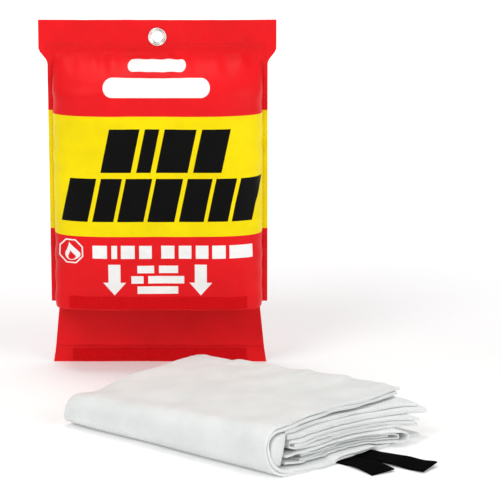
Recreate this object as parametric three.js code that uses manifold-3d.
// A household fire blanket: a hanging pouch of coated polyester with a closing flap, and the woven glass
// blanket that has been pulled out of it and lies folded in front, with its two webbing pull tabs.
// Millimetres, +Z up. The origin is the middle of the folded blanket's underside, and the pouch stands behind it
// with its front facing -Y.
import * as THREE from "three";
import { mergeVertices } from "three/addons/utils/BufferGeometryUtils.js";
import Module from "manifold-3d";

const wasm = await Module();
wasm.setup();

// ---- Driving dimensions -------------------------------------------------------------------------------------

const GAP = 0.3; // clearance between pieces that lie on each other

// The folded blanket, in its own turned frame: X runs along the rounded nose fold, Y from the nose to the back.
const BLANKET_LENGTH = 208;
const BLANKET_WIDTH = 160;
const BLANKET_THICK = 31;
const BLANKET_TURN = THREE.MathUtils.degToRad(-40);
const WRAP_THICK = 5.4; // the outer plies, which run round the nose from the top to the underside
const NOSE_FOLD_DEPTH = 22; // from the nose to the square inner edge of the plies folded inside it
const INNER_THICK = (BLANKET_THICK - 2 * WRAP_THICK - 5 * GAP) / 4;
const NOSE_Y = -BLANKET_WIDTH / 2;
const BACK_Y = BLANKET_WIDTH / 2;
const PARTING_Z = BLANKET_THICK / 2; // the blanket opens like a book at this height
const TAPER = 0.2; // share by which the pack is thicker at its open +X end, and thinner at its folded -X end
// The pack fans out at its +X end: each layer reaches further out there by an early share, which is mostly
// reached within the first distance from the nose, and a late share, which grows towards its back edge.
const FLARE_START = 38;
const FLARE_POWER = 5;
const FLARE = {
  lowerWrap: [20, 0], noseFold: [2, 0], inner: [[10, 24], [9, 24], [8, 23], [6, 24]], upperWrap: [0, 1], hem: [0, 0],
};
const END_LEAN = 5; // the top of the +X end stands back from its foot by this much at the nose
// How far each inner fold, counted from the bottom, stands out behind the outer plies' nominal back edge, and
// how far its back edge is drawn forwards at the +X end.
const OVERHANG = [-3, -3, 2, 4];
const BACK_SKEW = [27, 26, 16, 5];

// The pull tabs are flat webbing, sewn under the blanket and leaving it at its +X end.
// Each free length starts on one heading, curves to another, and tips up along its rear edge.
const WEBBING_WIDTH = 20;
const WEBBING_THICK = 1.4;
const TAB_TAIL = 40; // sewn length under the blanket
const TAB_EXIT_X = BLANKET_LENGTH / 2 + 20;
const TAB_STATIONS = 8;
const TABS = [
  { name: "front", y: -7.5, length: 36, heading: [-8, -18], tip: 4 },
  { name: "rear", y: 13.5, length: 56, heading: [-3, 5], tip: 6 },
];
const THREAD = 0.5;
const POCKET_Z = WEBBING_THICK + THREAD + 2 * GAP; // the hollow over the sewn tails

// The pouch: flat header, deep body that holds the blanket, and the flap and its lip hanging below the mouth.
const POUCH_WIDTH = 198;
const HEADER = 28;
const BODY_HEIGHT = 212;
const FLAP_LENGTH = 39.6;
const LIP_LENGTH = 13.5;
const MOUTH_Z = FLAP_LENGTH + LIP_LENGTH + 2 * GAP;
const BODY_TOP_Z = MOUTH_Z + BODY_HEIGHT;
const POUCH_HEIGHT = BODY_TOP_Z + HEADER;
const SHEET = 1;
const SEAM_EDGE = 92; // half width of the body to the outside of its side seams
const BODY_EDGE = 87; // half width of the deep part
const BODY_DEPTH = 37.5;
const BODY_ROUND = 12;
const BODY_CORNER = 14;
const POUCH_X = -62;
const POUCH_Y = 196; // the rear face of the back panel
const TAPE_LENGTH = 148;
const TAPE_WIDTH = 10;
const TAPE_THICK = 1;
const TAPE_MARGIN = 2; // from the edge of the panel to the tape

// The hanging eyelet.
const EYELET_Z = POUCH_HEIGHT - 14;
const EYELET_BORE = 4.6;
const EYELET_RIM = 7.6;
const EYELET_WALL = 0.6;
const FLANGE_THICK = 0.8;

// ---- Materials ----------------------------------------------------------------------------------------------

const material = (color, roughness, metalness = 0) => new THREE.MeshStandardMaterial({ color, roughness, metalness });
const GLASS_CLOTH = material(0xeceeea, 0.75);
const RED_SHEET = material(0xe01b22, 0.5);
const RED_TAPE = material(0xb5121a, 0.95);
const BLACK_WEBBING = material(0x0b0b0c, 0.85);
const BLACK_THREAD = material(0x111111, 0.8);
const WHITE_THREAD = material(0xf4f4f0, 0.7);
const RED_THREAD = material(0xc4161c, 0.7);
const NICKEL = material(0xd8d6d2, 0.3, 1);

// ---- Shape helpers ------------------------------------------------------------------------------------------

const X = new THREE.Vector3(1, 0, 0);
const Y = new THREE.Vector3(0, 1, 0);
const Z = new THREE.Vector3(0, 0, 1);
const FLAT = { bevelEnabled: false, curveSegments: 6 };
const LONGEST_EDGE = 14;

function toSolid(geometry) {
  const bare = geometry.index ? geometry.toNonIndexed() : geometry.clone();
  bare.deleteAttribute("normal");
  bare.deleteAttribute("uv");
  const merged = mergeVertices(bare, 1e-4);
  const triVerts = new Uint32Array(merged.index.array);
  return new wasm.Manifold(new wasm.Mesh({ numProp: 3, vertProperties: merged.attributes.position.array, triVerts }));
}

function toGeometry(solid) {
  const { numProp, vertProperties, triVerts } = solid.getMesh();
  const points = new Float32Array((vertProperties.length / numProp) * 3);
  for (let i = 0; i < points.length / 3; i++) {
    points.set(vertProperties.subarray(i * numProp, i * numProp + 3), i * 3);
  }
  const geometry = new THREE.BufferGeometry();
  geometry.setAttribute("position", new THREE.BufferAttribute(points, 3));
  geometry.setIndex(new THREE.BufferAttribute(triVerts, 1));
  geometry.computeVertexNormals();
  return geometry;
}

// The same outline with its long edges divided, so that it can follow a curve.
function divided(outline) {
  const corners = outline.getPoints(FLAT.curveSegments);
  const points = corners.flatMap((from, i) => {
    const to = corners[(i + 1) % corners.length];
    const span = from.distanceTo(to);
    const count = span < 1e-6 ? 0 : Math.ceil(span / LONGEST_EDGE);
    return Array.from({ length: count }, (_, k) => from.clone().lerp(to, k / count));
  });
  return new THREE.Shape(points);
}

// A profile drawn in (y, z), extruded along X between two places.
function alongX(profile, fromX, toX) {
  const geometry = new THREE.ExtrudeGeometry(divided(profile), { ...FLAT, depth: toX - fromX });
  return geometry.applyMatrix4(new THREE.Matrix4().makeBasis(Y, Z, X)).translate(fromX, 0, 0);
}

// An outline drawn in (x, z), extruded forwards (towards -Y) from a place on Y.
function forwards(outline, fromY, thickness, options = {}) {
  const geometry = new THREE.ExtrudeGeometry(outline, { ...FLAT, depth: thickness, ...options });
  return geometry.applyMatrix4(new THREE.Matrix4().makeBasis(X, Z, Y.clone().negate())).translate(0, fromY, 0);
}

function box(lowX, highX, lowY, highY, lowZ, highZ) {
  const geometry = new THREE.BoxGeometry(highX - lowX, highY - lowY, highZ - lowZ);
  return geometry.translate((lowX + highX) / 2, (lowY + highY) / 2, (lowZ + highZ) / 2);
}

// Height of the pack at a place along the nose, as a share of its height at mid length.
function taper(x) {
  return 1 + (TAPER * x) / (BLANKET_LENGTH / 2);
}

// Gives a piece the pack's shape: its +X end fans out, leans back and may have its back edge drawn forwards,
// and its height tapers along X. Its levels stay flat.
function shaped(geometry, [early, late], skew = 0) {
  const place = geometry.attributes.position;
  geometry.computeBoundingBox();
  const { min, max } = geometry.boundingBox;
  for (let i = 0; i < place.count; i++) {
    if (place.getX(i) > 0) {
      const fromNose = place.getY(i) - NOSE_Y;
      const share = fromNose / (max.y - NOSE_Y);
      const flare = early * (1 - Math.exp(-fromNose / FLARE_START)) + late * share ** FLARE_POWER;
      const lean = ((END_LEAN * place.getZ(i)) / BLANKET_THICK) * (1 - fromNose / BLANKET_WIDTH);
      place.setX(i, place.getX(i) + flare - lean);
      place.setY(i, place.getY(i) - (skew * (place.getY(i) - min.y)) / (max.y - min.y));
    }
    place.setZ(i, place.getZ(i) * taper(place.getX(i)));
  }
  geometry.computeVertexNormals();
  return geometry;
}

function polygon(points) {
  return new THREE.Shape(points.map(([a, b]) => new THREE.Vector2(a, b)));
}

function roundedRectangle(lowA, highA, lowB, highB, radius) {
  const quarter = Math.PI / 2;
  const shape = new THREE.Shape();
  shape.moveTo(lowA + radius, lowB);
  shape.absarc(highA - radius, lowB + radius, radius, -quarter, 0);
  shape.absarc(highA - radius, highB - radius, radius, 0, quarter);
  shape.absarc(lowA + radius, highB - radius, radius, quarter, 2 * quarter);
  shape.absarc(lowA + radius, lowB + radius, radius, 2 * quarter, 3 * quarter);
  return shape;
}

function part(name, geometry, finish) {
  const mesh = new THREE.Mesh(geometry, finish);
  mesh.name = name;
  return mesh;
}

// ---- The folded blanket -------------------------------------------------------------------------------------

// The outer plies below the parting plane: a quarter round at the nose and a flat run to a rounded back edge.
function outerWrapProfile() {
  const radius = PARTING_Z;
  const inner = radius - WRAP_THICK;
  const centreY = NOSE_Y + radius;
  const endRadius = WRAP_THICK / 2 - 0.2;
  const backY = BACK_Y - 4;
  const shape = new THREE.Shape();
  const top = radius - GAP / 2;
  shape.moveTo(NOSE_Y, top);
  shape.absarc(centreY, radius, radius, Math.PI, 1.5 * Math.PI);
  shape.lineTo(backY - endRadius, 0);
  shape.absarc(backY - endRadius, endRadius, endRadius, -Math.PI / 2, 0);
  shape.lineTo(backY, WRAP_THICK - endRadius);
  shape.absarc(backY - endRadius, WRAP_THICK - endRadius, endRadius, 0, Math.PI / 2);
  shape.lineTo(centreY, WRAP_THICK);
  shape.absarc(centreY, radius, inner, 1.5 * Math.PI, Math.PI, true);
  shape.lineTo(NOSE_Y + WRAP_THICK, top);
  return shape;
}

// The plies folded inside the nose: round towards the nose, square towards the back.
function noseFoldProfile() {
  const radius = PARTING_Z - WRAP_THICK - GAP;
  const centreY = NOSE_Y + PARTING_Z;
  const shape = new THREE.Shape();
  shape.moveTo(NOSE_Y + NOSE_FOLD_DEPTH, PARTING_Z + radius);
  shape.lineTo(centreY, PARTING_Z + radius);
  shape.absarc(centreY, PARTING_Z, radius, Math.PI / 2, 1.5 * Math.PI);
  shape.lineTo(NOSE_Y + NOSE_FOLD_DEPTH, PARTING_Z - radius);
  return shape;
}

// An inner folded run of plies, with its folded ends rounded.
function innerFoldProfile(lowZ, fromY, toY) {
  return roundedRectangle(fromY, toY, lowZ, lowZ + INNER_THICK, INNER_THICK / 2 - 0.1);
}

function lowerWrap() {
  const half = BLANKET_LENGTH / 2;
  const lowY = TABS[0].y - WEBBING_WIDTH / 2 - GAP;
  const highY = TABS[1].y + WEBBING_WIDTH / 2 + GAP;
  const pocket = box(TAB_EXIT_X - TAB_TAIL - 2 * GAP, 2 * half, lowY, highY, -1, POCKET_Z);
  const wrap = shaped(alongX(outerWrapProfile(), -half, half), FLARE.lowerWrap);
  return toGeometry(toSolid(wrap).subtract(toSolid(pocket)));
}

// The upper wrap is the lower one turned over about the parting plane.
function upperWrap() {
  const half = BLANKET_LENGTH / 2;
  const profile = outerWrapProfile().getPoints(6);
  const mirrored = polygon(profile.map((p) => [p.x, BLANKET_THICK - p.y]).reverse());
  return shaped(alongX(mirrored, -half, half), FLARE.upperWrap);
}

function noseFold() {
  const half = BLANKET_LENGTH / 2 - 1;
  return shaped(alongX(noseFoldProfile(), -half, half), FLARE.noseFold);
}

// The inner runs lie one above the other, counted from the bottom, between the nose fold and the back.
// Those above the parting plane start where they swing clear of the nose fold's corner as the blanket opens.
function innerFold(level) {
  const half = BLANKET_LENGTH / 2 - 2;
  const lowZ = WRAP_THICK + GAP + level * (INNER_THICK + GAP);
  const cornerRadius = Math.hypot(NOSE_FOLD_DEPTH, (PARTING_Z - WRAP_THICK - GAP) * (1 + TAPER));
  const fromNose = lowZ > PARTING_Z ? cornerRadius : NOSE_FOLD_DEPTH;
  const profile = innerFoldProfile(lowZ, NOSE_Y + fromNose + GAP, BACK_Y + OVERHANG[level]);
  return shaped(alongX(profile, -half, half), FLARE.inner[level], BACK_SKEW[level]);
}

function hemThread() {
  const half = BLANKET_LENGTH / 2 - 4;
  const y = BACK_Y - 16;
  const low = BLANKET_THICK + GAP;
  return shaped(box(-half, half, y - THREAD / 2, y + THREAD / 2, low, low + THREAD), FLARE.hem);
}

// The free length of a pull tab: a strip lofted through square stations along its curved centreline.
function freeTab({ y, length, heading, tip }) {
  const rad = THREE.MathUtils.degToRad;
  const step = length / TAB_STATIONS;
  const points = [];
  let [x, centre] = [TAB_EXIT_X + GAP, y];
  for (let i = 0; i <= TAB_STATIONS; i++) {
    const along = i / TAB_STATIONS;
    const direction = rad(heading[0] + (heading[1] - heading[0]) * along);
    const tilt = rad(tip) * along;
    const cross = i === 0 ? 0 : direction;
    for (const [side, high] of [[-1, 0], [1, 0], [1, 1], [-1, 1]]) {
      const out = side * (WEBBING_WIDTH / 2) * Math.cos(tilt);
      const lift = ((side + 1) / 2) * WEBBING_WIDTH * Math.sin(tilt) + high * WEBBING_THICK;
      points.push(x - out * Math.sin(cross), centre + out * Math.cos(cross), lift);
    }
    x += step * Math.cos(direction);
    centre += step * Math.sin(direction);
  }
  const faces = [0, 3, 2, 0, 2, 1];
  for (let i = 0; i < TAB_STATIONS; i++) {
    for (let k = 0; k < 4; k++) {
      const [a, b] = [4 * i + k, 4 * i + ((k + 1) % 4)];
      faces.push(a, b, b + 4, a, b + 4, a + 4);
    }
  }
  const last = 4 * TAB_STATIONS;
  faces.push(last, last + 1, last + 2, last, last + 2, last + 3);
  const geometry = new THREE.BufferGeometry();
  geometry.setAttribute("position", new THREE.Float32BufferAttribute(points, 3));
  geometry.setIndex(faces);
  geometry.computeVertexNormals();
  return geometry;
}

function tabTail({ y }) {
  const half = WEBBING_WIDTH / 2;
  return box(TAB_EXIT_X - TAB_TAIL, TAB_EXIT_X, y - half, y + half, 0, WEBBING_THICK);
}

// A square of stitching with one diagonal, lying on the sewn tail.
function boxStitch({ y }) {
  const side = 15;
  const centreX = TAB_EXIT_X - TAB_TAIL / 2 - 6;
  const low = WEBBING_THICK + GAP;
  const frame = roundedRectangle(-side / 2, side / 2, -side / 2, side / 2, 0.5);
  const inside = side / 2 - 2 * THREAD;
  frame.holes.push(roundedRectangle(-inside, inside, -inside, inside, 0.2));
  const ring = new THREE.ExtrudeGeometry(frame, { ...FLAT, curveSegments: 2, depth: THREAD });
  const diagonal = box(-side * 0.66, side * 0.66, -THREAD, THREAD, 0, THREAD).rotateZ(Math.PI / 4);
  return toGeometry(toSolid(ring).add(toSolid(diagonal))).translate(centreX, y, low);
}

function blanket() {
  const group = new THREE.Group();
  group.rotation.z = BLANKET_TURN;
  group.add(
    part("lower_outer_wrap", lowerWrap(), GLASS_CLOTH),
    part("nose_fold", noseFold(), GLASS_CLOTH),
    ...OVERHANG.map((_, level) => part(`inner_fold_${level + 1}`, innerFold(level), GLASS_CLOTH)),
    part("upper_outer_wrap", upperWrap(), GLASS_CLOTH),
    part("hem_thread", hemThread(), WHITE_THREAD),
  );
  for (const tab of TABS) {
    group.add(
      part(`${tab.name}_tab_sewn_tail`, tabTail(tab), BLACK_WEBBING),
      part(`${tab.name}_tab_box_stitch`, boxStitch(tab), BLACK_THREAD),
      part(`${tab.name}_pull_tab`, freeTab(tab), BLACK_WEBBING),
    );
  }
  return group;
}

// ---- The pouch ----------------------------------------------------------------------------------------------

// The outline of a flat panel in (x, z): full width at the header, drawn in along the filled body.
function panelOutline(lowZ) {
  const header = POUCH_WIDTH / 2;
  const neckLow = BODY_TOP_Z - 8;
  const shape = new THREE.Shape();
  shape.moveTo(-SEAM_EDGE, lowZ);
  shape.lineTo(SEAM_EDGE, lowZ);
  shape.lineTo(SEAM_EDGE, neckLow);
  shape.bezierCurveTo(SEAM_EDGE, neckLow + 5, header, neckLow + 5, header, neckLow + 12);
  shape.lineTo(header, POUCH_HEIGHT);
  shape.lineTo(-header, POUCH_HEIGHT);
  shape.lineTo(-header, neckLow + 12);
  shape.bezierCurveTo(-header, neckLow + 5, -SEAM_EDGE, neckLow + 5, -SEAM_EDGE, neckLow);
  return shape;
}

function eyeletHole(radius) {
  return new THREE.Path().absarc(0, EYELET_Z, radius, 0, 2 * Math.PI, true);
}

function backPanel() {
  const outline = panelOutline(MOUTH_Z);
  outline.holes.push(eyeletHole(EYELET_BORE + EYELET_WALL + GAP));
  return forwards(outline, 0, SHEET);
}

// The deep part of the front panel as a solid block with rounded front edges, reaching below the mouth.
function bodyBlock(inset) {
  const edge = BODY_EDGE - inset;
  const round = BODY_ROUND - inset;
  const outline = roundedRectangle(-edge, edge, 0, BODY_TOP_Z - inset, BODY_CORNER - inset);
  const options = { bevelEnabled: true, bevelThickness: round, bevelSize: round, bevelOffset: -round, bevelSegments: 4 };
  return toSolid(forwards(outline, round, BODY_DEPTH - inset, options));
}

// The front panel: a sheet drawn forward into a deep tray that is open at the mouth.
function frontPanel() {
  const front = -SHEET - GAP;
  const outline = panelOutline(MOUTH_Z + GAP);
  outline.holes.push(eyeletHole(EYELET_BORE + EYELET_WALL + GAP));
  const sheet = toSolid(forwards(outline, front, SHEET));
  const behind = toSolid(box(-200, 200, front, 100, -50, 400));
  const below = toSolid(box(-200, 200, -100, 100, -50, MOUTH_Z + GAP));
  const hollow = bodyBlock(SHEET).subtract(toSolid(box(-200, 200, front + 10, 200, -50, 400)));
  const tray = bodyBlock(0).subtract(behind);
  return toGeometry(sheet.add(tray).subtract(hollow).subtract(below));
}

// A strip below the mouth that flares from one half width to another.
function flaredStrip(highZ, highHalf, lowZ, lowHalf) {
  const outline = polygon([[-lowHalf, lowZ], [lowHalf, lowZ], [highHalf, highZ], [-highHalf, highZ]]);
  return forwards(outline, 0, SHEET);
}

// The flap closes the bottom when it is turned forward about its top edge.
function flap() {
  return flaredStrip(MOUTH_Z - GAP, SEAM_EDGE - 7, LIP_LENGTH + GAP, SEAM_EDGE - 3);
}

// The lip on the flap's free edge turns up over the front of the body.
function flapLip() {
  return flaredStrip(LIP_LENGTH, SEAM_EDGE - 3, 0, SEAM_EDGE - 1);
}

// A strip of tape facing forward, with its rear face at a place on Y.
function tape(rearY, lowZ) {
  return box(-TAPE_LENGTH / 2, TAPE_LENGTH / 2, rearY - TAPE_THICK, rearY, lowZ, lowZ + TAPE_WIDTH);
}

function seamThread(side) {
  const x = side * (SEAM_EDGE - 3);
  const front = -2 * SHEET - 2 * GAP;
  return box(x - THREAD / 2, x + THREAD / 2, front - THREAD, front, MOUTH_Z + 2, BODY_TOP_Z - 10);
}

function headerThread() {
  const half = POUCH_WIDTH / 2 - 6;
  const front = -2 * SHEET - 2 * GAP;
  const z = BODY_TOP_Z + 5;
  return box(-half, half, front - THREAD, front, z - THREAD / 2, z + THREAD / 2);
}

// A profile in (radius, forward distance) turned about the eyelet's axis, which runs along Y.
function turned(profile) {
  const points = profile.map(([radius, forward]) => new THREE.Vector2(radius, forward));
  return new THREE.LatheGeometry([...points, points[0]], 32).rotateX(Math.PI).translate(0, 0, EYELET_Z);
}

// The eyelet: a flange on the front with a barrel through both panels.
function eyelet() {
  const front = 2 * SHEET + 2 * GAP;
  const outer = EYELET_BORE + EYELET_WALL;
  return turned([
    [EYELET_BORE, 0],
    [outer, 0],
    [outer, front],
    [EYELET_RIM, front],
    [EYELET_RIM - 0.4, front + FLANGE_THICK],
    [EYELET_BORE + 0.5, front + FLANGE_THICK + 0.2],
    [EYELET_BORE, front + FLANGE_THICK - 0.2],
  ]);
}

// The washer behind the back panel that the barrel is closed on.
function eyeletWasher() {
  const inner = EYELET_BORE + EYELET_WALL + GAP;
  const rear = -GAP - FLANGE_THICK;
  return turned([
    [inner, rear],
    [EYELET_RIM + 0.4, rear],
    [EYELET_RIM + 0.4, -GAP],
    [inner, -GAP],
  ]);
}

function pouch() {
  const group = new THREE.Group();
  group.position.set(POUCH_X, POUCH_Y, 0);
  group.add(
    part("pouch_back_panel", backPanel(), RED_SHEET),
    part("pouch_front_panel", frontPanel(), RED_SHEET),
    part("closing_flap", flap(), RED_SHEET),
    part("flap_lip", flapLip(), RED_SHEET),
    part("lip_hook_tape", tape(-SHEET - GAP, TAPE_MARGIN), RED_TAPE),
    part("front_loop_tape", tape(-BODY_DEPTH - GAP, MOUTH_Z + TAPE_MARGIN), RED_TAPE),
    part("left_seam_thread", seamThread(-1), RED_THREAD),
    part("right_seam_thread", seamThread(1), RED_THREAD),
    part("header_thread", headerThread(), RED_THREAD),
    part("hanging_eyelet", eyelet(), NICKEL),
    part("eyelet_washer", eyeletWasher(), NICKEL),
  );
  return group;
}

const fireBlanket = new THREE.Group();
fireBlanket.add(blanket(), pouch());
export default fireBlanket;
